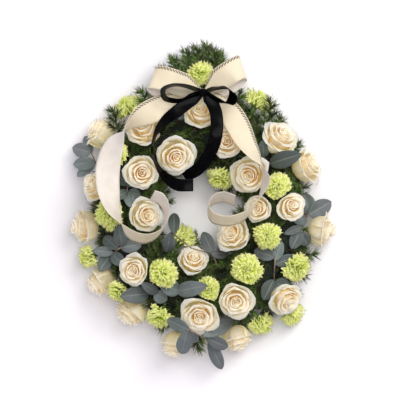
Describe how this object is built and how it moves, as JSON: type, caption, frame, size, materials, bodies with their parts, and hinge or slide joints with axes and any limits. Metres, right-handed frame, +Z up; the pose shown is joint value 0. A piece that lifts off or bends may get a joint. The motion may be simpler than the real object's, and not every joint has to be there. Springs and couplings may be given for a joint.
{
  "type": "funeral wreath",
  "caption": "Round funeral wreath lying on its back: straw ring bound in fir, covered with cream roses, lime carnations and eucalyptus, tied with a cream bow and a black bow",
  "frame": {"origin": "middle of the bounding box in plan, on the surface the wreath lies on", "axes": "+Z up out of the flowers, +Y towards the bow at the top of the wreath, +X to its right"},
  "size_m": [0.56, 0.7048, 0.1973],
  "materials": {
    "straw": "matte dry straw",
    "fir": "fresh needles, slightly waxy",
    "rose_petal": "soft matte petal",
    "carnation_petal": "soft matte petal",
    "eucalyptus_leaf": "waxy matte leaf",
    "cream_cloth": "matte woven ribbon",
    "black_satin": "glossy satin ribbon"
  },
  "bodies": {
    "root": {"straw_ring": "straw", "fir_1": "fir", "fir_2": "fir", "fir_3": "fir", "fir_4": "fir", "rose_01": "rose_petal", "rose_02": "rose_petal", "rose_03": "rose_petal", "rose_04": "rose_petal", "rose_05": "rose_petal", "rose_06": "rose_petal", "rose_07": "rose_petal", "rose_08": "rose_petal", "rose_09": "rose_petal", "rose_10": "rose_petal", "rose_11": "rose_petal", "rose_12": "rose_petal", "rose_13": "rose_petal", "rose_14": "rose_petal", "rose_15": "rose_petal", "rose_16": "rose_petal", "rose_17": "rose_petal", "rose_18": "rose_petal", "rose_19": "rose_petal", "rose_20": "rose_petal", "rose_21": "rose_petal", "rose_22": "rose_petal", "rose_23": "rose_petal", "rose_24": "rose_petal", "rose_25": "rose_petal", "carnation_01": "carnation_petal", "carnation_02": "carnation_petal", "carnation_03": "carnation_petal", "carnation_04": "carnation_petal", "carnation_05": "carnation_petal", "carnation_06": "carnation_petal", "carnation_07": "carnation_petal", "carnation_08": "carnation_petal", "carnation_09": "carnation_petal", "carnation_10": "carnation_petal", "carnation_11": "carnation_petal", "carnation_12": "carnation_petal", "carnation_13": "carnation_petal", "carnation_14": "carnation_petal", "carnation_15": "carnation_petal", "carnation_16": "carnation_petal", "carnation_17": "carnation_petal", "carnation_18": "carnation_petal", "carnation_19": "carnation_petal", "eucalyptus_1": "eucalyptus_leaf", "eucalyptus_2": "eucalyptus_leaf", "eucalyptus_3": "eucalyptus_leaf", "eucalyptus_4": "eucalyptus_leaf", "eucalyptus_5": "eucalyptus_leaf", "eucalyptus_6": "eucalyptus_leaf", "eucalyptus_7": "eucalyptus_leaf", "eucalyptus_8": "eucalyptus_leaf", "eucalyptus_9": "eucalyptus_leaf", "cream_ribbon": "cream_cloth", "black_ribbon": "black_satin"}
  },
  "joints": []
}
